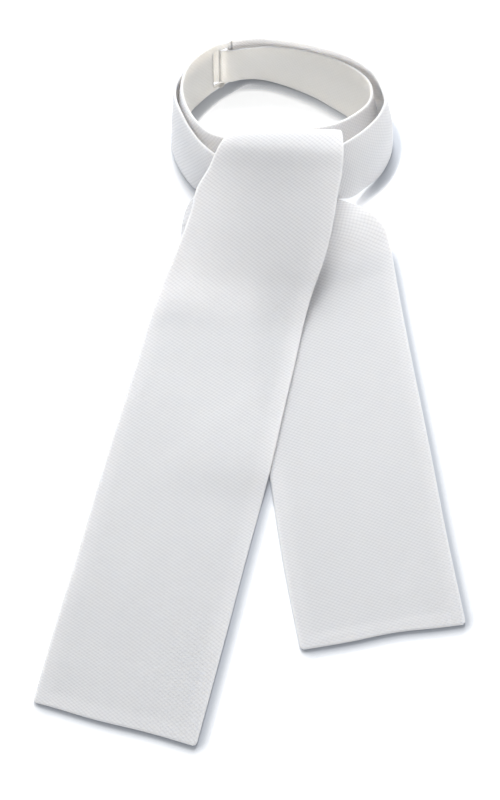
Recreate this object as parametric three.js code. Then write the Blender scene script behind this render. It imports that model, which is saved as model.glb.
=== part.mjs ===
// A stock tie: one long strip of white cotton pique, laid flat with its neck loop standing on edge.
// One wide end comes up through the knot and falls over it. From under the knot the strip goes round the
// right side and the back, on as the neck band once round the inside, out through the band's own slot,
// round the left side, and ends as the other wide end beneath the knot. Both wide ends lie on the table.
// Millimetres, +Z up. +Y is towards the back of the neck loop and -Y towards the two free ends.

import * as THREE from 'three';

const WALL = 2.0;        // finished wall: two layers of cloth with the turned-in seams between them
const ROLL = 0.6;        // how far in from each long side the wall starts to round off
const SHOULDER = 0.25;   // half height of the flat left in the middle of a rounded side, in walls
const SEAM_GAP = 0.3;    // left between two pieces of the strip
const ROW_STEP = 0.04;   // the part of a row over which the direction of the strip is taken
const STATIONS = [0, 0.2, 0.4, 0.6, 0.8, 1];             // places across the strip, lower side to upper
const SLOT_STATIONS = [0, 0.09, 0.3, 0.5, 0.7, 0.87, 1];  // the same, with the ends of the slot

const WHITE = '#dfe2e8';
const SHADED = '#d6d6d4';

// The pieces of the strip, in their order along it. Each has a row per section or fold, and goes from the
// last row of the piece before it to its own last row. A row gives:
//   lx ly lz  a point of the lower (or outer) long side
//   ux uy uz  the point of the upper (or inner) long side across from it
//   bow       how far the middle of the cloth stands out or up between the two sides
//   cuts      sections made from this row to the next
const COLUMNS = ['lx', 'ly', 'lz', 'ux', 'uy', 'uz', 'bow', 'cuts'];
const STRIP = [
  // The front tail, from its hem up along the fall and over the crown of the knot.
  {
    name: 'front_tail',
    color: WHITE,
    rows: [
      [-32.5, -242, 1, -132, -213, 1, 0, 1],
      [-14, -165, 1, -119, -157, 1, 0, 1],
      [-3.5, -120, 1, -108.5, -115.5, 1, 0, 1],
      [7, -77, 1, -98.5, -73, 1, 0, 2],
      [13.5, -50.5, 4.2, -91.5, -44.5, 1, 0, 1],
      [23, -4, 4.6, -80.5, -0.5, 1, 0, 1],
      [29, 24, 4.6, -73, 29, 1, 0, 2],
      [34.5, 51.5, 5.8, -65.5, 59, 2.2, 0.5, 2],
      [40.5, 73.4, 11.2, -57, 82, 9.3, 1, 2],
      [47.5, 91.4, 19.6, -48.5, 100.3, 18.9, 1.5, 2],
      [52.5, 108, 27.3, -42.5, 113.8, 26, 2, 2],
      [55.5, 122.2, 33.9, -38, 125.8, 32.2, 2, 2],
      [57.5, 133.4, 39.1, -35, 136.9, 38, 2, 2],
      [60, 145.1, 44.5, -27, 148.8, 44.2, 2, 2],
      [61, 158, 50.5, -20.5, 161.8, 51, 2, 2],
      [60.6, 168.2, 53.2, -15.8, 167, 54.4, 1.5, 2],
      [59.8, 172.3, 52.5, -14.2, 169.2, 53.8, 1.5, 2],
      [58.8, 172.8, 49, -14, 169, 50, 1, 2],
      [56.5, 170.8, 42, -14, 166.9, 42, 0, 1],
    ],
  },
  // The knot's rise, from the back of the crown down between the throat and the left band, and forward
  // flat beneath the knot.
  {
    name: 'knot_rise',
    color: WHITE,
    rows: [
      [52, 166.5, 28, -13.2, 162.3, 26, 0, 1],
      [48, 162, 13, -12.4, 158.7, 11, 0, 2],
      [46.5, 159, 5, -11.9, 156.6, 3.6, 0, 2],
      [45.5, 153.5, 1.9, -11.7, 155, 1.7, 0, 2],
      [43.5, 145, 1.1, -11.8, 153.4, 1.1, 0, 2],
      [38, 132.5, 1, -12.6, 152, 1, 0, 2],
      [27, 122, 1, -14.3, 151.2, 1, 0, 2],
      [10, 114.5, 1, -17, 150.8, 1, 0, 2],
      [-9, 111, 1, -20.5, 150.8, 1, 0, 2],
      [-26.8, 112.3, 1, -26.6, 151.5, 1, 0, 1],
    ],
  },
  // The crossing, out from under the knot, folded back at the left and over the front of the knot.
  {
    name: 'knot_cross',
    color: WHITE,
    rows: [
      [-36, 115, 1.2, -31, 151.2, 1.3, 0, 3],
      [-44, 116, 4.8, -36, 151.5, 6.8, 5, 2],     // the fold
      [-36, 114.5, 6.2, -30.5, 152.5, 11, 3, 2],
      [-24, 113.5, 7.5, -24, 149.5, 16.5, 3, 2],
      [-7, 115.5, 10.5, -11, 148, 23, 3, 2],
      [11, 120.5, 15, 4, 149.3, 28.5, 2.5, 2],
      [28, 128, 18.5, 20, 152.5, 33.5, 2, 2],
    ],
  },
  // The right band, the outer turn of the loop, from the knot round the right side and along the back.
  {
    name: 'right_band',
    color: WHITE,
    rows: [
      [44, 136.5, 19, 36, 157.3, 38.5, 1, 2],
      [56, 143.3, 16.3, 50, 163.2, 42.5, 0.5, 2],
      [66.5, 149, 9.8, 60.5, 167.8, 45.2, 0, 2],
      [76, 160.8, 3.2, 69.3, 173.6, 46, 0.5, 2],
      [85.7, 172, 0.5, 77.5, 180.8, 46.3, 1.2, 2],
      [92, 184, 0.3, 84.8, 189.8, 46.7, 1.8, 2],
      [94.8, 196, 0.3, 89, 200.3, 47, 2, 2],
      [93.5, 209.5, 0.3, 87, 211.8, 47, 2, 2],
      [87, 223, 0.3, 81, 224.8, 47, 1.5, 2],
      [75.5, 234, 0.3, 71, 234, 47, 1.2, 2],
      [60, 241.3, 0.3, 58.5, 241.2, 46.8, 0.8, 2],
      [45.2, 245.3, 0.3, 45.2, 245.7, 46.8, 0, 3],
      [27, 252.4, 0.3, 27, 250, 47, 0.8, 3],
      [8, 257, 0.3, 8, 252.2, 47, 0.8, 3],
      [-6, 256.3, 0.3, -6, 251.2, 47, 0.5, 2],
    ],
  },
  // The neck band, past its slot, down the left side, across the throat, up the right side and along the
  // back of the inner turn to the slot again.
  {
    name: 'neck_band',
    color: SHADED,
    stations: SLOT_STATIONS,
    slot: { firstRow: 0, lastRow: 1, firstPanel: 1, lastPanel: 4 },
    rows: [
      [-15.3, 250, 0.3, -15.3, 249, 47, 0, 3],    // the slot starts here
      [-25, 242.4, 0.3, -25, 245.4, 47, 0, 2],    // and ends here
      [-33, 234.3, 0.3, -35.5, 236.8, 47, 0, 2],
      [-40, 225.7, 0.3, -42, 227.3, 47, 0.5, 2],
      [-45.5, 214, 0.3, -45, 214.5, 47, 1, 2],
      [-48, 202, 0.3, -44.2, 205, 47, 1.2, 2],
      [-45.8, 188, 0.3, -40.5, 194, 47, 1.2, 2],
      [-38, 173, 0.3, -34.5, 184, 47, 1, 2],
      [-26, 164.3, 0.3, -25, 175.6, 46.5, 0.8, 2],
      [-8, 161, 0.3, -9, 172.3, 46, 0.5, 2],
      [12, 162, 0.3, 12, 175.8, 46, 0.3, 2],
      [34, 166.5, 0.3, 34, 179.8, 45.5, 0.3, 2],
      [56, 174.5, 0.3, 56, 184.4, 45, 0.8, 2],
      [74, 184.5, 0.3, 70.8, 193.7, 44.5, 1.2, 2],
      [83.5, 194.5, 0.3, 79, 203.3, 44, 1.5, 2],
      [84.8, 203.8, 0.3, 80.5, 212.5, 43.5, 1.5, 2],
      [79, 211.8, 0.3, 78, 221.3, 43, 1, 2],
      [68.5, 219.6, 0.3, 69, 231, 42.5, 0.5, 2],
      [56, 228.8, 0.3, 56.5, 238.8, 42, 0, 2],
      [45.1, 236.6, 0.3, 45.1, 243, 42, 0, 3],
      [25, 246.6, 0.5, 27, 247.4, 42, 0, 3],
      [8, 251.4, 1.5, 9, 248.4, 42, 0, 3],
      [-5, 250.2, 3.6, -4.5, 247.2, 41.7, 0, 2],
      [-13, 247, 5.2, -13, 246.5, 40.8, 0, 2],
      [-20.4, 246.5, 5.6, -20.3, 247.3, 40.2, 0, 2],
    ],
  },
  // The left band, out through the slot, round the left side and behind the knot.
  {
    name: 'left_band',
    color: WHITE,
    rows: [
      [-28, 245.4, 5, -28.3, 247.6, 40.4, 0, 2],
      [-36, 239, 2, -38, 239.2, 41.3, 0, 2],
      [-43.2, 228.8, 0.3, -44.9, 228.6, 42, 0.3, 2],
      [-49.5, 216.5, 0.3, -49.5, 216.5, 42.5, 0.6, 2],
      [-52, 203, 0.3, -49.2, 206, 42.7, 1, 2],
      [-50.8, 191, 0.3, -45.5, 194.8, 43, 1, 2],
      [-45, 175.5, 0.3, -38.8, 180.5, 43, 1, 2],
      [-35.5, 162, 0.6, -30.5, 168.8, 42.5, 0.8, 2],
      [-26, 155.5, 3.4, -20, 160.8, 41, 0.5, 2],
      [-13.9, 151, 4.8, -4.9, 158, 36.5, 0.5, 2],
    ],
  },
  // The under tail, turning forward beneath the knot, over a raised shoulder and flat to its hem.
  {
    name: 'under_tail',
    color: WHITE,
    rows: [
      [-2, 147, 5, 9, 155, 31, 0, 2],
      [7, 141.5, 5, 26, 151.5, 25.5, 0.5, 2],
      [13, 134, 5, 42, 148.6, 19, 1.5, 2],
      [16, 125, 4.6, 56, 146.3, 12.8, 3, 2],
      [16.5, 115, 4, 68, 140.6, 14.8, 4, 2],
      [15, 106, 3.2, 79.5, 134, 15, 4.5, 2],
      [13, 99, 2.6, 88.3, 126, 10.5, 4, 2],
      [10.5, 91, 1.8, 92.3, 115, 5, 2.5, 2],
      [6.5, 77, 1, 95, 98, 2, 1, 2],
      [3, 55, 1, 98.5, 72, 1, 0, 1],
      [2.5, 25, 1, 102.7, 42, 1, 0, 1],
      [6.5, -12, 1, 108.5, 3, 1, 0, 1],
      [12.5, -57, 1, 115, -41, 1, 0, 1],
      [20.5, -116, 1, 123.5, -101, 1, 0, 2],
      [31, -177.5, 1, 133, -160, 1, 0, 0],
    ],
  },
];

// A short bar of close stitches across the foot of the slot, on the inner face of the neck band.
const BARTACK = { length: 4.5, depth: 1, height: 1.6, lean: 4, turn: 38, at: [-19.1, 244.8, 3.1] };

const cloth = (color) => new THREE.MeshStandardMaterial({ color, roughness: 0.92, metalness: 0 });
const ROWS = STRIP.flatMap((piece) => piece.rows).map((row) =>
  Object.fromEntries(COLUMNS.map((name, i) => [name, row[i]])));

// A smooth line through one side of the strip: the point of it at a row number with a fraction.
function sideLine(a, b, c) {
  const curve = new THREE.CatmullRomCurve3(
    ROWS.map((r) => new THREE.Vector3(r[a], r[b], r[c])), false, 'centripetal');
  return (place) => curve.getPoint(THREE.MathUtils.clamp(place / (ROWS.length - 1), 0, 1));
}
const lowerSide = sideLine('lx', 'ly', 'lz');
const upperSide = sideLine('ux', 'uy', 'uz');

// The place half a seam gap before a row (side -1) or after it (side 1).
function besideSeam(row, side) {
  const next = row + side * ROW_STEP;
  const distance = Math.min(
    lowerSide(row).distanceTo(lowerSide(next)), upperSide(row).distanceTo(upperSide(next)));
  return row + side * ROW_STEP * (SEAM_GAP / 2) / distance;
}

// The middle surface of the strip from one place to another, cut into sections: each is a list of
// points and of cloth normals.
function sections(stations, from, to) {
  const places = [from];
  ROWS.forEach((r, i) => {
    for (let k = 0; k < r.cuts; k += 1) {
      const place = i + k / r.cuts;
      if (place > from + ROW_STEP && place < to - ROW_STEP) places.push(place);
    }
  });
  places.push(to);
  const bowAt = (place) => {
    const i = Math.min(Math.floor(place), ROWS.length - 2);
    const f = place - i;
    return ROWS[i].bow * (1 - f) + ROWS[i + 1].bow * f;
  };
  return places.map((place) => {
    const a = lowerSide(place);
    const b = upperSide(place);
    const across = b.clone().sub(a);
    const runLow = lowerSide(place + ROW_STEP).sub(lowerSide(place - ROW_STEP));
    const runUp = upperSide(place + ROW_STEP).sub(upperSide(place - ROW_STEP));
    const normalAt = (v, chord) => runLow.clone().lerp(runUp, v).cross(chord).normalize();
    const middle = normalAt(0.5, across);
    const points = stations.map((v) =>
      a.clone().addScaledVector(across, v).addScaledVector(middle, bowAt(place) * 4 * v * (1 - v)));
    const normals = stations.map((v) => {
      const chord = across.clone().addScaledVector(middle, bowAt(place) * 4 * (1 - 2 * v));
      return normalAt(v, chord);
    });
    return { points, normals, across: across.normalize(), place };
  });
}

// A closed piece of the strip with rounded sides, and with a slot through it where one is asked for.
function clothPiece(from, to, stations, slot) {
  const list = sections(stations, from, to);
  const n = stations.length;
  const ring = 2 * n + 4;            // top side, upper edge, under side, lower edge
  const position = [];
  const push = (p) => position.push(p.x, p.y, p.z);
  for (const s of list) {
    const inset = (i) => (i === 0 ? ROLL : i === n - 1 ? -ROLL : 0);
    const at = (i, h) => s.points[i].clone()
      .addScaledVector(s.across, Math.abs(h) === WALL / 2 ? inset(i) : 0)
      .addScaledVector(s.normals[i], h);
    for (let i = 0; i < n; i += 1) push(at(i, WALL / 2));
    push(at(n - 1, WALL * SHOULDER));
    push(at(n - 1, -WALL * SHOULDER));
    for (let i = n - 1; i >= 0; i -= 1) push(at(i, -WALL / 2));
    push(at(0, -WALL * SHOULDER));
    push(at(0, WALL * SHOULDER));
  }
  const top = (s, i) => s * ring + i;
  const under = (s, i) => s * ring + n + 2 + (n - 1 - i);
  const index = [];
  const quad = (a, b, c, d) => index.push(a, b, c, a, c, d);
  const rowStart = slot && list.findIndex((s) => s.place === slot.firstRow);
  const rowEnd = slot && list.findIndex((s) => s.place === slot.lastRow);
  const cutAway = (s, i) => slot && s >= rowStart && s < rowEnd
    && i >= slot.firstPanel && i <= slot.lastPanel;
  for (let s = 0; s < list.length - 1; s += 1) {
    for (let k = 0; k < ring; k += 1) {
      const next = (k + 1) % ring;
      const isTop = k < n - 1;
      const isUnder = k >= n + 2 && k < 2 * n + 1;
      const panel = isTop ? k : n - 2 - (k - n - 2);
      if ((isTop || isUnder) && cutAway(s, panel)) continue;
      quad(s * ring + k, s * ring + next, (s + 1) * ring + next, (s + 1) * ring + k);
    }
  }
  if (slot) {
    for (let i = slot.firstPanel; i <= slot.lastPanel; i += 1) {
      quad(top(rowStart, i), top(rowStart, i + 1), under(rowStart, i + 1), under(rowStart, i));
      quad(top(rowEnd, i), under(rowEnd, i), under(rowEnd, i + 1), top(rowEnd, i + 1));
    }
    const sides = [[slot.firstPanel, 1], [slot.lastPanel + 1, -1]];
    for (const [i, turn] of sides) {
      for (let s = rowStart; s < rowEnd; s += 1) {
        if (turn > 0) quad(top(s, i), under(s, i), under(s + 1, i), top(s + 1, i));
        else quad(top(s, i), top(s + 1, i), under(s + 1, i), under(s, i));
      }
    }
  }
  const cap = (s, flip) => {
    const faces = [];
    for (let i = 0; i < n - 1; i += 1) faces.push([top(s, i), top(s, i + 1), under(s, i + 1), under(s, i)]);
    faces.push([top(s, n - 1), s * ring + n, s * ring + n + 1, under(s, n - 1)]);
    faces.push([under(s, 0), s * ring + 2 * n + 2, s * ring + 2 * n + 3, top(s, 0)]);
    for (const f of faces) quad(...(flip ? f : f.reverse()));
  };
  cap(0, false);
  cap(list.length - 1, true);
  return closed(position, index);
}

// Turns the faces outwards if the strip was swept the other way round.
function closed(position, index) {
  const p = (i) => new THREE.Vector3(position[3 * i], position[3 * i + 1], position[3 * i + 2]);
  let volume = 0;
  for (let t = 0; t < index.length; t += 3) {
    volume += p(index[t]).dot(p(index[t + 1]).cross(p(index[t + 2]))) / 6;
  }
  const faces = volume > 0 ? index : index.slice().reverse();
  const geometry = new THREE.BufferGeometry();
  geometry.setAttribute('position', new THREE.Float32BufferAttribute(position, 3));
  geometry.setIndex(faces);
  geometry.computeVertexNormals();
  return geometry;
}

function stitchedBar({ length, depth, height, lean, turn, at }) {
  const bar = new THREE.BoxGeometry(length, depth, height);
  bar.rotateX(THREE.MathUtils.degToRad(lean));
  bar.rotateZ(THREE.MathUtils.degToRad(turn));
  bar.translate(...at);
  return bar;
}

const tie = new THREE.Group();
const box = new THREE.Box3();
const addPiece = (name, geometry, color) => {
  const mesh = new THREE.Mesh(geometry, cloth(color));
  mesh.name = name;
  tie.add(mesh);
  box.union(new THREE.Box3().setFromBufferAttribute(geometry.getAttribute('position')));
};

let seamRow = 0;
for (const { name, color, rows, stations = STATIONS, slot = null } of STRIP) {
  const firstRow = seamRow;
  const lastRow = firstRow === 0 ? rows.length - 1 : firstRow + rows.length;
  const from = firstRow === 0 ? 0 : besideSeam(firstRow, 1);
  const to = lastRow === ROWS.length - 1 ? lastRow : besideSeam(lastRow, -1);
  const slotHere = slot && {
    ...slot,
    firstRow: firstRow + 1 + slot.firstRow,
    lastRow: firstRow + 1 + slot.lastRow,
  };
  addPiece(name, clothPiece(from, to, stations, slotHere), color);
  seamRow = lastRow;
}
addPiece('slot_bartack', stitchedBar(BARTACK), WHITE);

// The origin is the middle of the base, on the table.
const middle = box.getCenter(new THREE.Vector3());
for (const mesh of tie.children) mesh.geometry.translate(-middle.x, -middle.y, -box.min.z);

export default tie;
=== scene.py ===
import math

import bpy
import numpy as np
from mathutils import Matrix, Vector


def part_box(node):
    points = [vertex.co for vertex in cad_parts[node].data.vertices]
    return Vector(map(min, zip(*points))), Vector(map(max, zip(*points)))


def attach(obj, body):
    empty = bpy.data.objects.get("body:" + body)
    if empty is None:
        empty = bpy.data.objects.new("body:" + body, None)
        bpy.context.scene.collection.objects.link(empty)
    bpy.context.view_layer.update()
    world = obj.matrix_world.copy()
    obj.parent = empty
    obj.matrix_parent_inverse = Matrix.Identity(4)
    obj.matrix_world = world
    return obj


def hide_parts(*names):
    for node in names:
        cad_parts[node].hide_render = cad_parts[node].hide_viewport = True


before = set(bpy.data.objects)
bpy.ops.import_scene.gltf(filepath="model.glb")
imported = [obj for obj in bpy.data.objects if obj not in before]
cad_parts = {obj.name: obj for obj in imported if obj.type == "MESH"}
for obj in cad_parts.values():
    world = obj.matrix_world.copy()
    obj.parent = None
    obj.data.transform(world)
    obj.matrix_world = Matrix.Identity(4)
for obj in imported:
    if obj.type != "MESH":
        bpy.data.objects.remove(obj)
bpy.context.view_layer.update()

# The strip: the whole tie is one long tube of white cotton pique, turned right side out and pressed,
# so it is two layers of cloth with the seams turned in along both long sides. It is given in its
# order from the front hem to the under hem, and every piece below is cut from it.

MM = 0.001
WALL = 2.0            # the cloth where the seams are turned in, in millimetres
MIDDLE_WALL = 1.5     # the cloth between the seams
SEAM_WIDTH = 6.0      # how far in from a long side the turned-in cloth reaches
SEAM_FADE = 5.0       # over how much it thins out
EDGE_ROUND = 1.1      # how far in the long sides are rolled over
HEM_CORNER = 3.0      # the radius that a turned corner keeps
HEM_REACH = 25.0      # how far in from a hem its wander dies away
STEP = 1.6            # the spacing of the mesh
FINE_STEP = 1.2       # the same where the strip is folded sharply
SIDE_LINES = (0, 0.12, 0.4, EDGE_ROUND, 2.2, 4.0, SEAM_WIDTH, SEAM_WIDTH + 2.5)   # near a long side
HEM_LINES = (0.0, 0.15, 0.45, 0.9, 1.6, HEM_CORNER)                               # near a hem
HEM_LINE_GAP = 1.0    # the least gap from those to the next line
LEAST_LINES = 4       # the least number of lines between those of the two sides
FAR = 1e3             # further in than any hem reaches
CLOSE = 1e-6          # near enough to be the same place
TINY = 1e-9           # a length that nothing has

# A row per section or fold, in millimetres on the table: the lower (or outer) long side's x, y, z, the
# upper (or inner) long side's x, y, z, and how far the cloth stands out or up between them. They are the
# solids' own rows, but for two at the crown that stand up to 1.8 mm higher, to catch the light.
LOWER, UPPER, BOW = slice(0, 3), slice(3, 6), 6
STRIP = [
    # the front tail, from its hem to the back of the crown
    (-32.5, -242, 1, -132, -213, 1, 0),
    (-14, -165, 1, -119, -157, 1, 0),
    (-3.5, -120, 1, -108.5, -115.5, 1, 0),
    (7, -77, 1, -98.5, -73, 1, 0),
    (13.5, -50.5, 4.2, -91.5, -44.5, 1, 0),
    (23, -4, 4.6, -80.5, -0.5, 1, 0),
    (29, 24, 4.6, -73, 29, 1, 0),
    (34.5, 51.5, 5.8, -65.5, 59, 2.2, 0.5),
    (40.5, 73.4, 11.2, -57, 82, 9.3, 1),
    (47.5, 91.4, 19.6, -48.5, 100.3, 18.9, 1.5),
    (52.5, 108, 27.3, -42.5, 113.8, 26, 2),
    (55.5, 122.2, 33.9, -38, 125.8, 32.2, 2),
    (57.5, 133.4, 39.1, -35, 136.9, 38, 2),
    (60, 145.1, 45.3, -27, 148.8, 45.2, 2),      # higher than the solid's
    (61, 157, 51.8, -20.5, 160.5, 52.8, 2),      # higher than the solid's
    (60.6, 168.2, 53.2, -15.8, 167, 54.4, 1.5),
    (59.8, 172.3, 52.5, -14.2, 169.2, 53.8, 1.5),
    (58.8, 172.8, 49, -14, 169, 50, 1),
    (56.5, 170.8, 42, -14, 166.9, 42, 0),
    # the knot's rise, down behind the crown and forward beneath the knot
    (52, 166.5, 28, -13.2, 162.3, 26, 0),
    (48, 162, 13, -12.4, 158.7, 11, 0),
    (46.5, 159, 5, -11.9, 156.6, 3.6, 0),
    (45.5, 153.5, 1.9, -11.7, 155, 1.7, 0),
    (43.5, 145, 1.1, -11.8, 153.4, 1.1, 0),
    (38, 132.5, 1, -12.6, 152, 1, 0),
    (27, 122, 1, -14.3, 151.2, 1, 0),
    (10, 114.5, 1, -17, 150.8, 1, 0),
    (-9, 111, 1, -20.5, 150.8, 1, 0),
    (-26.8, 112.3, 1, -26.6, 151.5, 1, 0),
    # the crossing, folded back at the left and over the front of the knot
    (-36, 115, 1.2, -31, 151.2, 1.3, 0),
    (-44, 116, 4.8, -36, 151.5, 6.8, 5),
    (-36, 114.5, 6.2, -30.5, 152.5, 11, 3),
    (-24, 113.5, 7.5, -24, 149.5, 16.5, 3),
    (-7, 115.5, 10.5, -11, 148, 23, 3),
    (11, 120.5, 15, 4, 149.3, 28.5, 2.5),
    (28, 128, 18.5, 20, 152.5, 33.5, 2),
    # the right band, round the right side and along the back
    (44, 136.5, 19, 36, 157.3, 38.5, 1),
    (56, 143.3, 16.3, 50, 163.2, 42.5, 0.5),
    (66.5, 149, 9.8, 60.5, 167.8, 45.2, 0),
    (76, 160.8, 3.2, 69.3, 173.6, 46, 0.5),
    (85.7, 172, 0.5, 77.5, 180.8, 46.3, 1.2),
    (92, 184, 0.3, 84.8, 189.8, 46.7, 1.8),
    (94.8, 196, 0.3, 89, 200.3, 47, 2),
    (93.5, 209.5, 0.3, 87, 211.8, 47, 2),
    (87, 223, 0.3, 81, 224.8, 47, 1.5),
    (75.5, 234, 0.3, 71, 234, 47, 1.2),
    (60, 241.3, 0.3, 58.5, 241.2, 46.8, 0.8),
    (45.2, 245.3, 0.3, 45.2, 245.7, 46.8, 0),
    (27, 252.4, 0.3, 27, 250, 47, 0.8),
    (8, 257, 0.3, 8, 252.2, 47, 0.8),
    (-6, 256.3, 0.3, -6, 251.2, 47, 0.5),
    # the neck band, past the slot and once round the inside
    (-15.3, 250, 0.3, -15.3, 249, 47, 0),
    (-25, 242.4, 0.3, -25, 245.4, 47, 0),
    (-33, 234.3, 0.3, -35.5, 236.8, 47, 0),
    (-40, 225.7, 0.3, -42, 227.3, 47, 0.5),
    (-45.5, 214, 0.3, -45, 214.5, 47, 1),
    (-48, 202, 0.3, -44.2, 205, 47, 1.2),
    (-45.8, 188, 0.3, -40.5, 194, 47, 1.2),
    (-38, 173, 0.3, -34.5, 184, 47, 1),
    (-26, 164.3, 0.3, -25, 175.6, 46.5, 0.8),
    (-8, 161, 0.3, -9, 172.3, 46, 0.5),
    (12, 162, 0.3, 12, 175.8, 46, 0.3),
    (34, 166.5, 0.3, 34, 179.8, 45.5, 0.3),
    (56, 174.5, 0.3, 56, 184.4, 45, 0.8),
    (74, 184.5, 0.3, 70.8, 193.7, 44.5, 1.2),
    (83.5, 194.5, 0.3, 79, 203.3, 44, 1.5),
    (84.8, 203.8, 0.3, 80.5, 212.5, 43.5, 1.5),
    (79, 211.8, 0.3, 78, 221.3, 43, 1),
    (68.5, 219.6, 0.3, 69, 231, 42.5, 0.5),
    (56, 228.8, 0.3, 56.5, 238.8, 42, 0),
    (45.1, 236.6, 0.3, 45.1, 243, 42, 0),
    (25, 246.6, 0.5, 27, 247.4, 42, 0),
    (8, 251.4, 1.5, 9, 248.4, 42, 0),
    (-5, 250.2, 3.6, -4.5, 247.2, 41.7, 0),
    (-13, 247, 5.2, -13, 246.5, 40.8, 0),
    (-20.4, 246.5, 5.6, -20.3, 247.3, 40.2, 0),
    # the left band, round the left side and behind the knot
    (-28, 245.4, 5, -28.3, 247.6, 40.4, 0),
    (-36, 239, 2, -38, 239.2, 41.3, 0),
    (-43.2, 228.8, 0.3, -44.9, 228.6, 42, 0.3),
    (-49.5, 216.5, 0.3, -49.5, 216.5, 42.5, 0.6),
    (-52, 203, 0.3, -49.2, 206, 42.7, 1),
    (-50.8, 191, 0.3, -45.5, 194.8, 43, 1),
    (-45, 175.5, 0.3, -38.8, 180.5, 43, 1),
    (-35.5, 162, 0.6, -30.5, 168.8, 42.5, 0.8),
    (-26, 155.5, 3.4, -20, 160.8, 41, 0.5),
    (-13.9, 151, 4.8, -4.9, 158, 36.5, 0.5),
    # the under tail, over its shoulder and flat to its hem
    (-2, 147, 5, 9, 155, 31, 0),
    (7, 141.5, 5, 26, 151.5, 25.5, 0.5),
    (13, 134, 5, 42, 148.6, 19, 1.5),
    (16, 125, 4.6, 56, 146.3, 12.8, 3),
    (16.5, 115, 4, 68, 140.6, 14.8, 4),
    (15, 106, 3.2, 79.5, 134, 15, 4.5),
    (13, 99, 2.6, 88.3, 126, 10.5, 4),
    (10.5, 91, 1.8, 92.3, 115, 5, 2.5),
    (6.5, 77, 1, 95, 98, 2, 1),
    (3, 55, 1, 98.5, 72, 1, 0),
    (2.5, 25, 1, 102.7, 42, 1, 0),
    (6.5, -12, 1, 108.5, 3, 1, 0),
    (12.5, -57, 1, 115, -41, 1, 0),
    (20.5, -116, 1, 123.5, -101, 1, 0),
    (31, -177.5, 1, 133, -160, 1, 0),
]

# The rows where one piece ends and the next begins, from the front hem to the under hem. The solids
# part at the back row, and the outer turn's seam is drawn a little further on, close beside the slot.
FRONT_HEM_ROW = 0
CROWN_ROW = 18
UNDER_KNOT_ROW = 28
CROSSING_ROW = 35
BACK_ROW = 50
LAP_ROW = 50.7
SLOT_ROWS = (51, 52)
PASSING_ROW = 75
KNOT_BACK_ROW = 85
UNDER_HEM_ROW = 100

# The frame has its origin under the middle of the tie. The right corner of the under tail and the
# front corner of the front tail place the table's numbers in it.
RIGHT_CORNER_X = 133.0
FRONT_CORNER_Y = -242.0
TABLE_TO_FRAME = np.array([
    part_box("under_tail")[1].x - RIGHT_CORNER_X * MM,
    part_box("front_tail")[0].y - FRONT_CORNER_Y * MM,
    0.0,
])


def side_line(points):
    """The smooth centripetal line through one side's rows, as a function of the row number."""
    p = np.vstack([2 * points[0] - points[1], points, 2 * points[-1] - points[-2]])

    def at(place):
        i = np.clip(np.floor(place).astype(int), 0, len(points) - 2)
        f = (place - i)[:, None]
        a, b, c, d = p[i], p[i + 1], p[i + 2], p[i + 3]
        ab = np.linalg.norm(b - a, axis=1)[:, None] ** 0.5
        bc = np.linalg.norm(c - b, axis=1)[:, None] ** 0.5
        cd = np.linalg.norm(d - c, axis=1)[:, None] ** 0.5
        leave = ((b - a) / ab - (c - a) / (ab + bc) + (c - b) / bc) * bc
        arrive = ((c - b) / bc - (d - b) / (bc + cd) + (d - c) / cd) * bc
        square = 3 * (c - b) - 2 * leave - arrive
        cube = 2 * (b - c) + leave + arrive
        return b + leave * f + square * f ** 2 + cube * f ** 3

    return at


ROWS = np.array(STRIP, float)
lower_side = side_line(ROWS[:, LOWER])
upper_side = side_line(ROWS[:, UPPER])
STEPS_IN_A_ROW = 40
fine_places = np.linspace(0, len(ROWS) - 1, STEPS_IN_A_ROW * (len(ROWS) - 1) + 1)
fine_middle = (lower_side(fine_places) + upper_side(fine_places)) / 2
fine_travel = np.concatenate([[0], np.cumsum(np.linalg.norm(np.diff(fine_middle, axis=0), axis=1))])


def travel_at(row):
    """How far along the strip a row lies from the front hem, in millimetres."""
    return float(np.interp(row, fine_places, fine_travel))


def unit(vectors):
    """The same directions at length one."""
    return vectors / np.maximum(np.linalg.norm(vectors, axis=-1, keepdims=True), TINY)


def surface_normals(grid):
    """Unit normals of a grid of points that runs along the strip and across it."""
    return unit(np.cross(np.gradient(grid, axis=0), np.gradient(grid, axis=1)))


def lines_along(start, end, step, hem_first, hem_last, slot):
    """Where a mesh has its lines across the strip, as travel. They are closer together at a hem."""
    v = np.linspace(start, end, int((end - start) / step) + 1)
    near_hem = np.array(HEM_LINES)
    if hem_first:
        v = np.concatenate([start + near_hem, v[v > start + HEM_CORNER + HEM_LINE_GAP]])
    if hem_last:
        v = np.concatenate([v[v < end - HEM_CORNER - HEM_LINE_GAP], end - near_hem[::-1]])
    if slot:
        for row in SLOT_ROWS:
            v[np.argmin(np.abs(v - travel_at(row)))] = travel_at(row)
    return v


def shares_across(width, step, slot):
    """Where each of those lines has its points, as shares of the width. They are closer at the sides."""
    rim = np.array(SIDE_LINES)
    inner_count = max(LEAST_LINES, int((width.mean() - 2 * rim[-1]) / step))
    inner = rim[-1] + (width - 2 * rim[-1]) * np.linspace(0, 1, inner_count + 2)[1:-1][None, :]
    across = np.hstack([np.repeat(rim[None, :], len(width), 0), inner, width - rim[::-1][None, :]])
    t = across / width
    if slot:
        for share in slot:
            t[:, np.argmin(np.abs(t.mean(0) - share))] = share
    return t


def swells(waves, across, along):
    """How far soft swells lift the cloth, each with a height, wavelength, direction and phase."""
    rise = np.zeros_like(across)
    for height, wavelength, direction, phase in waves:
        turn = math.radians(direction)
        reach = across * math.sin(turn) + along * math.cos(turn)
        rise += height * (0.5 + 0.5 * np.sin(2 * math.pi * reach / wavelength + phase))
    return rise


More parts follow.
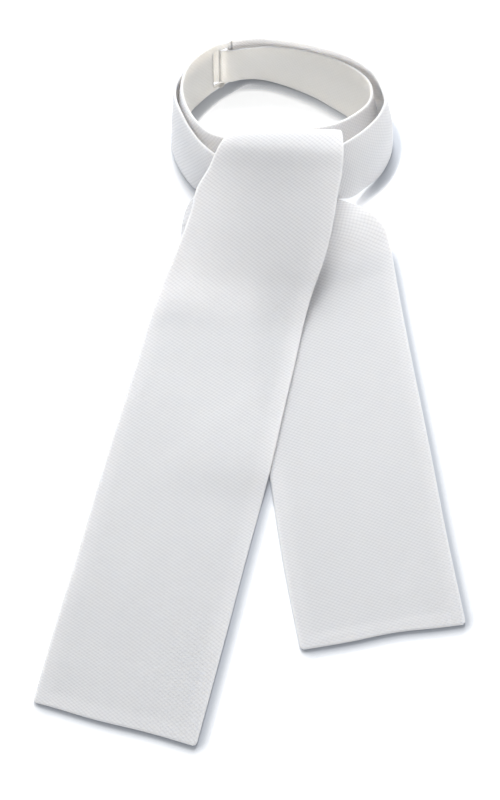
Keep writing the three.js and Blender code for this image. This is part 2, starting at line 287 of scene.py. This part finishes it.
def half_wall(from_edge):
    """Half the cloth's thickness, by how far in from a side or a hem it is."""
    thin = np.clip((from_edge - SEAM_WIDTH) / SEAM_FADE, 0, 1)
    half = (WALL - (WALL - MIDDLE_WALL) * thin * thin * (3 - 2 * thin)) / 2
    return half * np.sqrt(np.clip(1 - (1 - np.clip(from_edge / EDGE_ROUND, 0, 1)) ** 2, 0, 1))


def cells_in_slot(v, t, slot):
    """Which cells of the mesh the slot leaves open."""
    slot_start, slot_end = (travel_at(row) for row in SLOT_ROWS)
    rows_in = (v[:-1] >= slot_start - CLOSE) & (v[1:] <= slot_end + CLOSE)
    mean_t = t.mean(0)
    columns_in = (mean_t[:-1] >= slot[0] - CLOSE) & (mean_t[1:] <= slot[1] + CLOSE)
    return rows_in[:, None] & columns_in[None, :]


def cut_piece(name, first_row, last_row, step=STEP, hem=None, waves=(), slot=None, warm_light_rows=None):
    """One piece of the strip between two rows, as a closed mesh of its real thickness.

    hem is a function of the share across that gives how far a turned hem lies inside the row.
    waves are soft swells: height, wavelength, direction in degrees and phase. slot is the share across
    where a slot starts and ends. warm_light_rows is the row where the inner face's painted warm light
    starts, and the row where it is full."""
    start, end = travel_at(first_row), travel_at(last_row)
    hem_first = hem is not None and first_row == FRONT_HEM_ROW
    hem_last = hem is not None and not hem_first
    v = lines_along(start, end, step, hem_first, hem_last, slot)
    # one line more at each cut end gives the same normals on both sides of a seam
    lead, tail = int(first_row > FRONT_HEM_ROW), int(last_row < UNDER_HEM_ROW)
    v_all = np.concatenate([[start - step]] * lead + [v] + [[end + step]] * tail)
    place = np.interp(v_all, fine_travel, fine_places)
    low, up = lower_side(place), upper_side(place)
    width = np.linalg.norm(up - low, axis=1)[:, None]
    t = shares_across(width, step, slot)
    from_side = np.minimum(t, 1 - t) * width

    # the middle surface: a hem's corners are turned first, and its own wander comes after
    from_hem = np.full(v_all.shape, FAR)
    if hem is not None:
        from_hem = (v_all - start) if hem_first else (end - v_all)
        into_corner = np.clip(HEM_CORNER - from_hem, 0, HEM_CORNER)
        pull = (HEM_CORNER - np.sqrt(HEM_CORNER ** 2 - into_corner ** 2))[:, None] / width
        t = pull + t * (1 - 2 * pull)
    grid = low[:, None, :] * (1 - t[..., None]) + up[:, None, :] * t[..., None]
    if hem is not None:
        run = unit(np.gradient((low + up) / 2, axis=0))[:, None, :] * (1 if hem_first else -1)
        reach = np.exp(-from_hem / HEM_REACH)[:, None]
        grid = grid + run * (hem(t) * reach)[..., None]
    middle_normal = surface_normals(grid)[:, grid.shape[1] // 2, :][:, None, :]
    bow = np.interp(place, np.arange(len(ROWS)), ROWS[:, BOW])[:, None]
    grid = grid + middle_normal * (bow * 4 * t * (1 - t))[..., None]
    if waves:
        grid = grid + surface_normals(grid) * swells(waves, t * width, v_all[:, None])[..., None]

    # the two layers of the cloth, without the lines beyond the cut ends
    normals = surface_normals(grid)
    side = np.minimum(from_side, from_hem[:, None])
    half = half_wall(side)[..., None]
    keep = slice(lead, len(v_all) - tail)
    top = (grid + normals * half)[keep]
    under = (grid - normals * half)[keep]
    u = ((t - 0.5) * width)[keep]
    open_cells = cells_in_slot(v, t, slot) if slot else None
    # the painted warm light of the inner face, by row
    warm_light_share = np.zeros_like(t)
    if warm_light_rows:
        warm_light_share += np.clip((place - warm_light_rows[0]) / (warm_light_rows[1] - warm_light_rows[0]), 0, 1)[:, None]
    from_edge = side[keep] * MM
    layers = {
        "from_side": (from_edge, from_edge),
        "painted_warm_light": (np.zeros_like(from_edge), warm_light_share[keep]),
    }
    return close_piece(name, top, under, u, v, layers, hem_first, hem_last, open_cells)


def wall(top_line, under_line):
    """The faces between a line of the upper layer and the same line of the under layer."""
    return [(top_line[k], top_line[k + 1], under_line[k + 1], under_line[k])
            for k in range(len(top_line) - 1)]


def close_piece(name, top, under, u, v, layers, hem_first, hem_last, open_cells):
    """Joins the upper and the under layer of a piece along its sides, its ends and its slot."""
    count_v, count_u, _ = top.shape
    points = np.concatenate([top.reshape(-1, 3), under.reshape(-1, 3)]) * MM + TABLE_TO_FRAME
    top_id = np.arange(count_v * count_u).reshape(count_v, count_u)
    under_id = top_id + count_v * count_u
    under_id[:, [0, -1]] = top_id[:, [0, -1]]
    if hem_first:
        under_id[0] = top_id[0]
    if hem_last:
        under_id[-1] = top_id[-1]
    closed_cells = np.ones((count_v - 1, count_u - 1), bool)
    if open_cells is not None:
        closed_cells &= ~open_cells
    i, j = np.nonzero(closed_cells)
    upper = np.stack([top_id[i, j], top_id[i + 1, j], top_id[i + 1, j + 1], top_id[i, j + 1]], 1)
    lower = np.stack([under_id[i, j], under_id[i, j + 1], under_id[i + 1, j + 1], under_id[i + 1, j]], 1)
    walls = []
    if not hem_first:
        walls += wall(top_id[0], under_id[0])
    if not hem_last:
        walls += wall(top_id[-1, ::-1], under_id[-1, ::-1])
    if open_cells is not None:
        open_v, open_u = np.nonzero(open_cells)
        v0, v1, u0, u1 = open_v.min(), open_v.max() + 1, open_u.min(), open_u.max() + 1
        along_v, along_u = slice(v0, v1 + 1), slice(u0, u1 + 1)
        walls += wall(top_id[v0, along_u][::-1], under_id[v0, along_u][::-1])
        walls += wall(top_id[v1, along_u], under_id[v1, along_u])
        walls += wall(top_id[along_v, u0], under_id[along_v, u0])
        walls += wall(top_id[along_v, u1][::-1], under_id[along_v, u1][::-1])
    sides = np.concatenate([upper, lower])
    faces = [list(dict.fromkeys(f)) for f in sides.tolist() + [[int(c) for c in w] for w in walls]]
    smooth = [n < len(sides) for n, f in enumerate(faces) if len(f) > 2]
    faces = [f for f in faces if len(f) > 2]
    used, packed = np.unique(np.concatenate(faces), return_inverse=True)
    ends = np.cumsum([len(f) for f in faces])
    mesh = bpy.data.meshes.new(name)
    mesh.from_pydata(points[used].tolist(), [], [c.tolist() for c in np.split(packed, ends[:-1])])
    mesh.polygons.foreach_set("use_smooth", smooth)
    cloth = np.stack([np.tile(u.ravel(), 2), np.tile(np.repeat(v, count_u), 2)], 1) * MM
    corners = np.zeros(len(mesh.loops), int)
    mesh.loops.foreach_get("vertex_index", corners)
    uv = mesh.uv_layers.new(name="cloth")
    uv.data.foreach_set("uv", cloth[used][corners].astype(np.float32).ravel())
    # each layer of values lies on the points, and differs between the upper and the under face
    for layer, (on_top, beneath) in layers.items():
        attribute = mesh.attributes.new(layer, "FLOAT", "POINT")
        both = np.concatenate([on_top.ravel(), beneath.ravel()])
        attribute.data.foreach_set("value", both[used].astype(np.float32))
    # a closed mesh whose faces look outward encloses a positive volume
    if sum(face.normal.dot(face.center) * face.area for face in mesh.polygons) < 0:
        mesh.flip_normals()
    mesh.update()
    piece = bpy.data.objects.new(name, mesh)
    bpy.context.scene.collection.objects.link(piece)
    return piece


# The pique cloth: matt white cotton in a small waffle of two families of raised cords, the steeper
# one stronger, with the thread's own unevenness. The hollows between the cords are coloured a darker
# white as painted shade, and that painted shade fades out where a side is rolled over.

CORD_PITCH = 0.0020
STRONG_CORD_ANGLE = -59
WEAK_CORD_ANGLE = 46
STRONG_CORD = 0.6         # the share of each family in the relief, and of the thread's unevenness
WEAK_CORD = 0.4
THREAD_NOISE = 0.3
CORD_ROUNDNESS = 0.6      # below 1 a cord is full and its hollow is narrow
SLUB_SCALE = 240
SLUB_DETAIL = 3
SLUB = 0.0004             # how far the thread wanders
# the painted shade of the hollows fades out near a long side, while the relief keeps its cords
HOLLOW_SHADE_RIM = (0.0003, 0.0016)   # how far in from a side the hollows begin to show, and show fully


def new_material(name, settings):
    """A material with these inputs of its shader set, its node tree and its shader."""
    material = bpy.data.materials.new(name)
    material.use_nodes = True
    shader = material.node_tree.nodes["Principled BSDF"]
    for socket, value in settings.items():
        shader.inputs[socket].default_value = value
    return material, material.node_tree, shader


def math_node(tree, operation, *values):
    """One math node, with numbers or sockets as its inputs."""
    node = tree.nodes.new("ShaderNodeMath")
    node.operation = operation
    for socket, value in zip(node.inputs, values):
        if isinstance(value, (int, float)):
            socket.default_value = value
        else:
            tree.links.new(value, socket)
    return node.outputs[0]


def colour_mix(tree, first, second, factor):
    """A mix of two colours, which are given as numbers or as sockets."""
    mix = tree.nodes.new("ShaderNodeMix")
    mix.data_type = "RGBA"
    for socket, colour in ((mix.inputs[6], first), (mix.inputs[7], second)):
        if isinstance(colour, tuple):
            socket.default_value = (*colour, 1)
        else:
            tree.links.new(colour, socket)
    tree.links.new(factor, mix.inputs[0])
    return mix.outputs[2]


def add_relief(tree, shader, height, strength, distance):
    """Gives a shader a fine relief from a height."""
    relief = tree.nodes.new("ShaderNodeBump")
    relief.inputs["Strength"].default_value = strength
    relief.inputs["Distance"].default_value = distance
    tree.links.new(height, relief.inputs["Height"])
    tree.links.new(relief.outputs["Normal"], shader.inputs["Normal"])


def pique_weave_group():
    """The waffle as a height, and as a mask of its hollows for their painted shade, from the cloth's own
    flat coordinates.
    """
    tree = bpy.data.node_groups.new("pique_weave", "ShaderNodeTree")
    for name, kind in (("Cloth", "Vector"), ("Pitch", "Float"), ("Strong Angle", "Float"),
                       ("Weak Angle", "Float"), ("Slub", "Float")):
        tree.interface.new_socket(name=name, in_out="INPUT", socket_type="NodeSocket" + kind)
    for name in ("Height", "Hollow"):
        tree.interface.new_socket(name=name, in_out="OUTPUT", socket_type="NodeSocketFloat")
    given = tree.nodes.new("NodeGroupInput").outputs
    result = tree.nodes.new("NodeGroupOutput").inputs
    slub = tree.nodes.new("ShaderNodeTexNoise")
    slub.inputs["Scale"].default_value = SLUB_SCALE
    slub.inputs["Detail"].default_value = SLUB_DETAIL
    tree.links.new(given["Cloth"], slub.inputs["Vector"])
    wander = tree.nodes.new("ShaderNodeVectorMath")
    wander.operation = "MULTIPLY_ADD"
    tree.links.new(slub.outputs["Color"], wander.inputs[0])
    tree.links.new(given["Slub"], wander.inputs[1])
    tree.links.new(given["Cloth"], wander.inputs[2])
    flat = tree.nodes.new("ShaderNodeSeparateXYZ")
    tree.links.new(wander.outputs[0], flat.inputs[0])
    cords = []
    for angle in ("Strong Angle", "Weak Angle"):
        over = math_node(tree, "MULTIPLY", flat.outputs["X"], math_node(tree, "COSINE", given[angle]))
        along = math_node(tree, "MULTIPLY", flat.outputs["Y"], math_node(tree, "SINE", given[angle]))
        turns = math_node(tree, "DIVIDE", math_node(tree, "ADD", over, along), given["Pitch"])
        half_turns = math_node(tree, "MULTIPLY", turns, math.pi)
        wave = math_node(tree, "ABSOLUTE", math_node(tree, "SINE", half_turns))
        cords.append(math_node(tree, "POWER", wave, CORD_ROUNDNESS))
    strong = math_node(tree, "MULTIPLY", cords[0], STRONG_CORD)
    waffle = math_node(tree, "MULTIPLY_ADD", cords[1], WEAK_CORD, strong)
    uneven = math_node(tree, "MULTIPLY_ADD", slub.outputs["Fac"], THREAD_NOISE, waffle)
    tree.links.new(uneven, result["Height"])
    tree.links.new(math_node(tree, "SUBTRACT", 1.0, waffle), result["Hollow"])
    return tree


def pique(name, raised, hollow_shade, raised_warm_lit=None, hollow_shade_warm_lit=None):
    """Pique in one white with painted shade in its hollows, or turning on the inner face, where the mesh
    says so, to a warmer white that is painted warm light.
    """
    material, tree, shader = new_material(name, {
        "Roughness": 0.92,
        "Specular IOR Level": 0.25,
        "Sheen Weight": 0.12,
        "Sheen Roughness": 0.6,
        "Subsurface Weight": 1.0,
        "Subsurface Radius": (1.0, 0.95, 0.88),
        "Subsurface Scale": 0.005,
    })
    cloth = tree.nodes.new("ShaderNodeUVMap")
    cloth.uv_map = "cloth"
    weave = tree.nodes.new("ShaderNodeGroup")
    weave.node_tree = PIQUE_WEAVE
    weave.inputs["Pitch"].default_value = CORD_PITCH
    weave.inputs["Strong Angle"].default_value = math.radians(STRONG_CORD_ANGLE)
    weave.inputs["Weak Angle"].default_value = math.radians(WEAK_CORD_ANGLE)
    weave.inputs["Slub"].default_value = SLUB
    tree.links.new(cloth.outputs["UV"], weave.inputs["Cloth"])
    side = tree.nodes.new("ShaderNodeAttribute")
    side.attribute_name = "from_side"
    off_the_rim = tree.nodes.new("ShaderNodeMapRange")
    off_the_rim.inputs["From Min"].default_value = HOLLOW_SHADE_RIM[0]
    off_the_rim.inputs["From Max"].default_value = HOLLOW_SHADE_RIM[1]
    tree.links.new(side.outputs["Fac"], off_the_rim.inputs["Value"])
    # painted shade: the hollows are mixed towards the darker colour, less so near a side
    hollow_shade_mask = math_node(tree, "MULTIPLY", weave.outputs["Hollow"], off_the_rim.outputs["Result"])
    colour = colour_mix(tree, raised, hollow_shade, hollow_shade_mask)
    # painted warm light: the inner face turns to a warmer white where the mesh says so
    if raised_warm_lit:
        inner = tree.nodes.new("ShaderNodeAttribute")
        inner.attribute_name = "painted_warm_light"
        warm_lit_colour = colour_mix(tree, raised_warm_lit, hollow_shade_warm_lit, hollow_shade_mask)
        colour = colour_mix(tree, colour, warm_lit_colour, inner.outputs["Fac"])
    tree.links.new(colour, shader.inputs["Base Color"])
    add_relief(tree, shader, weave.outputs["Height"], strength=0.65, distance=0.0003)
    return material


PIQUE_WEAVE = pique_weave_group()
# The second colour of each pair is painted shade in the waffle's hollows.
WHITE, WHITE_HOLLOW_SHADE = (0.862, 0.859, 0.870), (0.685, 0.682, 0.705)
# The warmer whites are painted warm light on the inner face, for light that shines through the cloth and
# is thrown back inside the loop.
WARM_LIT_WHITE, WARM_LIT_HOLLOW_SHADE = (0.815, 0.79, 0.75), (0.765, 0.74, 0.70)
WHITE_PIQUE = pique("white_pique", WHITE, WHITE_HOLLOW_SHADE)
WARM_LIT_PIQUE = pique("pique_painted_warm_light", WHITE, WHITE_HOLLOW_SHADE, WARM_LIT_WHITE, WARM_LIT_HOLLOW_SHADE)


def dress(piece, nodes, slot, material, **sheet):
    """Gives a piece its cloth, hides the solids that it stands for and hangs it from the root."""
    piece.data.materials.append(material)
    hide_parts(*nodes)
    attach(piece, "root")


# The neck band: the slotted stretch of the strip that lies against the neck. It starts at the back,
# goes past its own slot and once round the inside on its lower edge, and ends in the slot.

SLOT_SIDES = (0.1, 0.875)

# Its inner face turns a warmer white just past the back: painted warm light inside the loop.
neck_band = cut_piece(
    "neck_band_cloth", LAP_ROW, PASSING_ROW, slot=SLOT_SIDES, warm_light_rows=(BACK_ROW, BACK_ROW + 2))
dress(neck_band, ["neck_band"], "pique_inner", WARM_LIT_PIQUE, flat=(0.045, 0.347), held="folded")

# The left band: the strip where it has come out through the slot, is drawn round the left side of the
# neck band and turns behind the knot. The same cotton, gathered a little narrower to pass the slot.

# Its inner face keeps that painted warm light where it comes out of the slot, and it fades out over the
# next rows.
left_band = cut_piece(
    "left_band_cloth", PASSING_ROW, KNOT_BACK_ROW, warm_light_rows=(PASSING_ROW + 3, PASSING_ROW + 1))
dress(left_band, ["left_band"], "pique", WARM_LIT_PIQUE, flat=(0.041, 0.128), held="folded")

# The right band and the crossing: the outer turn of the loop along the back and round the right side,
# then over the front of the knot, folded back under itself at the left. One unbroken stretch.

right_band = cut_piece("right_band_cloth", CROSSING_ROW, LAP_ROW)
dress(right_band, ["right_band"], "pique", WHITE_PIQUE, flat=(0.044, 0.226), held="folded")
knot_cross = cut_piece("knot_cross_cloth", UNDER_KNOT_ROW, CROSSING_ROW, step=FINE_STEP)
dress(knot_cross, ["knot_cross"], "pique", WHITE_PIQUE, flat=(0.035, 0.083), held="folded")

# The under tail: the wide end at the right. It turns forward beneath the knot, stands up in a soft
# shoulder where it comes out, and lies on the table to its turned hem, which is drawn in a little.

UNDER_HEM_BOW = 1.8           # in millimetres
UNDER_HEM_BOW_AT = 0.58       # the share across where the hem is drawn in most
UNDER_HEM_BOW_SPREAD = 0.22


def under_hem(t):
    """How far the seam has drawn the hem in across its width."""
    return UNDER_HEM_BOW * np.exp(-((t - UNDER_HEM_BOW_AT) / UNDER_HEM_BOW_SPREAD) ** 2)


under_tail = cut_piece("under_tail_cloth", KNOT_BACK_ROW, UNDER_HEM_ROW, hem=under_hem, waves=[
    (0.20, 96, 25, 0.8),
    (0.12, 47, 70, 2.1),
])
dress(under_tail, ["under_tail"], "pique", WHITE_PIQUE, flat=(0.104, 0.363),
      area=0.032, held="laid")

# The front tail: the wide end at the left. It comes up behind the crossing, turns over the crown of the
# knot, falls forward over everything and lies to its turned hem, which is a little wavy.

FRONT_HEM_WAVE = 0.8          # in millimetres
FRONT_HEM_WAVES = 1.5         # how many waves there are across the hem
FRONT_HEM_START = 0.08        # the share of a wave that lies before the hem's first corner


def front_hem(t):
    """How far the hem wanders in across its width."""
    return FRONT_HEM_WAVE * (0.5 - 0.5 * np.cos(2 * math.pi * (t * FRONT_HEM_WAVES + FRONT_HEM_START)))


front_tail = cut_piece("front_tail_cloth", FRONT_HEM_ROW, CROWN_ROW, hem=front_hem, waves=[
    (0.35, 118, 35, 0.4),
    (0.20, 61, -20, 1.7),
    (0.12, 37, 80, 0.2),
])
dress(front_tail, ["front_tail"], "pique", WHITE_PIQUE, flat=(0.105, 0.435),
      area=0.0434, held="laid", rests_on=["under_tail_cloth"])
knot_rise = cut_piece("knot_rise_cloth", CROWN_ROW, UNDER_KNOT_ROW, step=FINE_STEP)
dress(knot_rise, ["knot_rise"], "pique", WHITE_PIQUE, flat=(0.071, 0.10),
      area=0.0055, held="folded")

# The slot's stitching: a buttonhole edge of close white thread round the slot, and a bar of the same
# thread across its foot on the inner face, where the strip pulls hardest.

THREAD_RADIUS = 0.12
THREAD_UNEVENNESS = 0.12
STITCH_LENGTH = 1.1
STITCH_SET_BACK = 0.45        # how far from the slot a stitch's middle is, in stitch lengths
STITCH_LIFT = 0.47            # how far from the cloth's middle it is, in walls
STITCH_SPACING = 0.7
SIDE_SPACING = STITCH_SPACING / 46       # the same as a share of the band's height
END_SPACING = STITCH_SPACING / 14.5      # and in rows, a little closer at the slot's short ends


def stitch_group():
    """Lays a short rounded stitch at every point of a mesh, along the point's own direction."""
    tree = bpy.data.node_groups.new("laid_stitches", "GeometryNodeTree")
    for name, kind in (("Geometry", "Geometry"), ("Length", "Float"), ("Thread Radius", "Float"),
                       ("Unevenness", "Float"), ("Seed", "Int"), ("Thread", "Material")):
        tree.interface.new_socket(name=name, in_out="INPUT", socket_type="NodeSocket" + kind)
    tree.interface.new_socket(name="Geometry", in_out="OUTPUT", socket_type="NodeSocketGeometry")
    given = tree.nodes.new("NodeGroupInput").outputs
    result = tree.nodes.new("NodeGroupOutput").inputs
    ball = tree.nodes.new("GeometryNodeMeshUVSphere")
    ball.inputs["Segments"].default_value = 10
    ball.inputs["Rings"].default_value = 8
    ball.inputs["Radius"].default_value = 1.0
    rounded = tree.nodes.new("GeometryNodeSetShadeSmooth")
    tree.links.new(ball.outputs["Mesh"], rounded.inputs["Geometry"])
    size = tree.nodes.new("ShaderNodeCombineXYZ")
    tree.links.new(given["Thread Radius"], size.inputs["X"])
    tree.links.new(given["Thread Radius"], size.inputs["Y"])
    tree.links.new(math_node(tree, "MULTIPLY", given["Length"], 0.5), size.inputs["Z"])
    shaped = tree.nodes.new("GeometryNodeTransform")
    tree.links.new(rounded.outputs["Geometry"], shaped.inputs["Geometry"])
    tree.links.new(size.outputs["Vector"], shaped.inputs["Scale"])
    aim = tree.nodes.new("GeometryNodeInputNamedAttribute")
    aim.data_type = "FLOAT_VECTOR"
    aim.inputs["Name"].default_value = "aim"
    turn = tree.nodes.new("FunctionNodeAlignRotationToVector")
    turn.axis = "Z"
    tree.links.new(aim.outputs["Attribute"], turn.inputs["Vector"])
    uneven = tree.nodes.new("FunctionNodeRandomValue")
    tree.links.new(math_node(tree, "SUBTRACT", 1.0, given["Unevenness"]), uneven.inputs[2])
    tree.links.new(math_node(tree, "ADD", 1.0, given["Unevenness"]), uneven.inputs[3])
    tree.links.new(given["Seed"], uneven.inputs["Seed"])
    laid = tree.nodes.new("GeometryNodeInstanceOnPoints")
    tree.links.new(given["Geometry"], laid.inputs["Points"])
    tree.links.new(shaped.outputs["Geometry"], laid.inputs["Instance"])
    tree.links.new(turn.outputs["Rotation"], laid.inputs["Rotation"])
    tree.links.new(uneven.outputs[1], laid.inputs["Scale"])
    real = tree.nodes.new("GeometryNodeRealizeInstances")
    tree.links.new(laid.outputs["Instances"], real.inputs["Geometry"])
    coloured = tree.nodes.new("GeometryNodeSetMaterial")
    tree.links.new(real.outputs["Geometry"], coloured.inputs["Geometry"])
    tree.links.new(given["Thread"], coloured.inputs["Material"])
    tree.links.new(coloured.outputs["Geometry"], result["Geometry"])
    return tree


def cotton_thread():
    """White mercerised thread: a little smoother than the cloth, with its twist as a fine relief and
    darker bands along it that are painted shade.
    """
    material, tree, shader = new_material("cotton_thread", {"Roughness": 0.7, "Sheen Weight": 0.2})
    place = tree.nodes.new("ShaderNodeTexCoord")
    twist = tree.nodes.new("ShaderNodeTexWave")
    twist.inputs["Scale"].default_value = 1400
    twist.inputs["Distortion"].default_value = 1.5
    tree.links.new(place.outputs["Object"], twist.inputs["Vector"])
    colour = colour_mix(tree, THREAD_WHITE, THREAD_TWIST_SHADE, twist.outputs["Fac"])
    tree.links.new(colour, shader.inputs["Base Color"])
    add_relief(tree, shader, twist.outputs["Fac"], strength=0.3, distance=0.0001)
    return material


# The second colour is painted shade, in bands along the twist.
THREAD_WHITE, THREAD_TWIST_SHADE = (0.74, 0.73, 0.71), (0.66, 0.65, 0.63)
LAID_STITCHES = stitch_group()
COTTON_THREAD = cotton_thread()


def stitches(name, places, aims, length, seed):
    """A piece of real stitches at these places, in millimetres on the table."""
    mesh = bpy.data.meshes.new(name + "_places")
    mesh.from_pydata((np.array(places) * MM + TABLE_TO_FRAME).tolist(), [], [])
    aim = mesh.attributes.new("aim", "FLOAT_VECTOR", "POINT")
    aim.data.foreach_set("vector", np.array(aims, np.float32).ravel())
    source = bpy.data.objects.new(name + "_places", mesh)
    bpy.context.scene.collection.objects.link(source)
    modifier = source.modifiers.new("laid_stitches", "NODES")
    modifier.node_group = LAID_STITCHES
    values = {"Length": length * MM, "Thread Radius": THREAD_RADIUS * MM,
              "Unevenness": THREAD_UNEVENNESS, "Seed": seed, "Thread": COTTON_THREAD}
    for item in LAID_STITCHES.interface.items_tree:
        if item.in_out == "INPUT" and item.name in values:
            modifier[item.identifier] = values[item.name]
    source.update_tag()
    graph = bpy.context.evaluated_depsgraph_get()
    real = bpy.data.meshes.new_from_object(source.evaluated_get(graph))
    bpy.data.objects.remove(source)
    piece = bpy.data.objects.new(name, real)
    bpy.context.scene.collection.objects.link(piece)
    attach(piece, "root")
    return piece


ROW_NUDGE = 0.02              # the part of a row over which a direction along the band is taken


def band_point(row, t):
    """A point of the band's middle surface, with the directions along, across and out of the cloth."""
    nearby = np.array([row - ROW_NUDGE, row, row + ROW_NUDGE])
    low, up = lower_side(nearby), upper_side(nearby)
    line = low * (1 - t) + up * t
    along, across = unit(line[2] - line[0]), unit(up[1] - low[1])
    return line[1], along, across, unit(np.cross(along, across))


places, aims = [], []
for row, away in zip(SLOT_ROWS, (-1, 1)):
    for t in np.arange(*SLOT_SIDES, SIDE_SPACING):
        point, along, _, out = band_point(row, t)
        for face in (1, -1):
            set_back = along * away * STITCH_LENGTH * STITCH_SET_BACK
            places.append(point + set_back + out * face * WALL * STITCH_LIFT)
            aims.append(along)
for t, away in zip(SLOT_SIDES, (-1, 1)):
    for row in np.arange(*SLOT_ROWS, END_SPACING):
        point, _, across, out = band_point(row, t)
        for face in (1, -1):
            set_back = across * away * STITCH_LENGTH * STITCH_SET_BACK
            places.append(point + set_back + out * face * WALL * STITCH_LIFT)
            aims.append(across)
stitches("slot_buttonhole", places, aims, STITCH_LENGTH, 4)

# The bar stands where its solid does. It has threads along it in two layers, and threads of the same
# length laid upright over both of its faces.

BAR_LENGTH = 3.8
BAR_ANGLE = math.radians(40)
BAR_CORE = 0.25               # how far the layers of threads along the bar are from its middle
BAR_CORE_TOP = 0.6            # how far up and down they go
BAR_CORE_SPACING = 0.3
BAR_WRAP = 0.42               # how far the upright threads are from its middle
BAR_WRAP_END = 1.8            # how far along it they go, each way
BAR_WRAP_SPACING = 0.4
JUST_PAST = 0.01              # lets the last thread of a row be laid too
low_corner, high_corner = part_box("slot_bartack")
bar_middle = np.array((low_corner + high_corner) / 2) / MM - TABLE_TO_FRAME / MM
bar_run = np.array([math.cos(BAR_ANGLE), math.sin(BAR_ANGLE), 0])
bar_out = np.array([-bar_run[1], bar_run[0], 0])
places, aims = [], []
for layer in (-BAR_CORE, BAR_CORE):
    for height in np.arange(-BAR_CORE_TOP, BAR_CORE_TOP + JUST_PAST, BAR_CORE_SPACING):
        places.append(bar_middle + bar_out * layer + np.array([0, 0, height]))
        aims.append(bar_run)
for shift in np.arange(-BAR_WRAP_END, BAR_WRAP_END + JUST_PAST, BAR_WRAP_SPACING):
    for layer in (-BAR_WRAP, BAR_WRAP):
        places.append(bar_middle + bar_run * shift + bar_out * layer)
        aims.append([0, 0, 1])
bartack = stitches("slot_bartack_thread", places, aims, BAR_LENGTH, 9)
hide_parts("slot_bartack")

# The table: a plain white surface. It glows a little, so that it shows as pure white, and its own
# material shades it close beside the cloth, on the sides turned to the right and to the front.

TABLE_SIZE = 6
TABLE_DROP = 0.0003             # how far it lies below the cloth
GLOW = 0.37
OPEN_SIDE = (-0.7, 0.55, 0.1)   # the side that light reaches the table from, close beside the cloth
CONTACT_REACH = 0.0085          # how far away cloth still shades the table
CONTACT_DARKEST = 0.69          # the openness at which the shade is full
CONTACT_FALLOFF = 2.2
CONTACT_SAMPLES = 16
SHADED_PAPER, OPEN_PAPER = (0.55, 0.58, 0.63), (0.93, 0.955, 0.99)
bpy.ops.mesh.primitive_plane_add(size=TABLE_SIZE, location=(0, 0, -TABLE_DROP))
floor = bpy.context.object
floor.name = "floor"
paper, paper_tree, paper_shader = new_material("white_table", {
    "Roughness": 1.0,
    "Specular IOR Level": 0.0,
    "Emission Color": (1, 1, 1, 1),
})
open_side = paper_tree.nodes.new("ShaderNodeCombineXYZ")
for axis, part in zip("XYZ", Vector(OPEN_SIDE).normalized()):
    open_side.inputs[axis].default_value = part
contact = paper_tree.nodes.new("ShaderNodeAmbientOcclusion")
contact.samples = CONTACT_SAMPLES
contact.inputs["Distance"].default_value = CONTACT_REACH
paper_tree.links.new(open_side.outputs["Vector"], contact.inputs["Normal"])
clear = paper_tree.nodes.new("ShaderNodeMapRange")
clear.inputs["From Min"].default_value = CONTACT_DARKEST
clear.inputs["From Max"].default_value = 1.0
paper_tree.links.new(contact.outputs["AO"], clear.inputs["Value"])
lit = math_node(paper_tree, "POWER", clear.outputs["Result"], CONTACT_FALLOFF)
paper_colour = colour_mix(paper_tree, SHADED_PAPER, OPEN_PAPER, lit)
paper_tree.links.new(paper_colour, paper_shader.inputs["Base Color"])
glow = math_node(paper_tree, "MULTIPLY", lit, GLOW)
paper_tree.links.new(glow, paper_shader.inputs["Emission Strength"])
floor.data.materials.append(paper)

# The light: an even white sky, and two large soft lamps that stand behind the neck loop and look at
# the middle of the tie, so that the crown of the knot is brightest and the fall below it darker.

SKY = 0.55
world = bpy.data.worlds.new("studio")
bpy.context.scene.world = world
world.use_nodes = True
world.node_tree.nodes["Background"].inputs["Color"].default_value = (1.0, 1.0, 1.0, 1)
world.node_tree.nodes["Background"].inputs["Strength"].default_value = SKY


def soft_lamp(name, place, aim, size, power):
    """A large square lamp that looks at a point of the table."""
    data = bpy.data.lights.new(name, "AREA")
    data.size = size
    data.energy = power
    lamp = bpy.data.objects.new(name, data)
    lamp.location = place
    lamp.rotation_euler = (Vector(aim) - Vector(place)).to_track_quat("-Z", "Y").to_euler()
    bpy.context.scene.collection.objects.link(lamp)


LAMP_SIZE = 0.5
LAMP_AIM = (0, 0, 0)
soft_lamp("key_lamp", (0.05, 0.95, 1.15), LAMP_AIM, LAMP_SIZE, 12)
soft_lamp("back_lamp", (0, 1.25, 0.65), LAMP_AIM, LAMP_SIZE, 7)

# The camera: above the free ends, looking down at the tie at 60 degrees, which is an estimate that
# makes the outline agree with the photo's.

CAMERA_DISTANCE = 2.0
ELEVATION = math.radians(60)
FOCAL_PIXELS = 3119
IMAGE_HEIGHT = 800
SENSOR = 36
camera_data = bpy.data.cameras.new("camera")
camera_data.sensor_width = SENSOR
camera_data.lens = FOCAL_PIXELS / IMAGE_HEIGHT * SENSOR
camera = bpy.data.objects.new("camera", camera_data)
back = Vector((0, -math.cos(ELEVATION), math.sin(ELEVATION)))
camera.location = Vector(TABLE_TO_FRAME) + back * CAMERA_DISTANCE
camera.rotation_euler = (-back).to_track_quat("-Z", "Y").to_euler()
bpy.context.scene.collection.objects.link(camera)
bpy.context.scene.camera = camera
bpy.context.scene.view_settings.view_transform = "Standard"
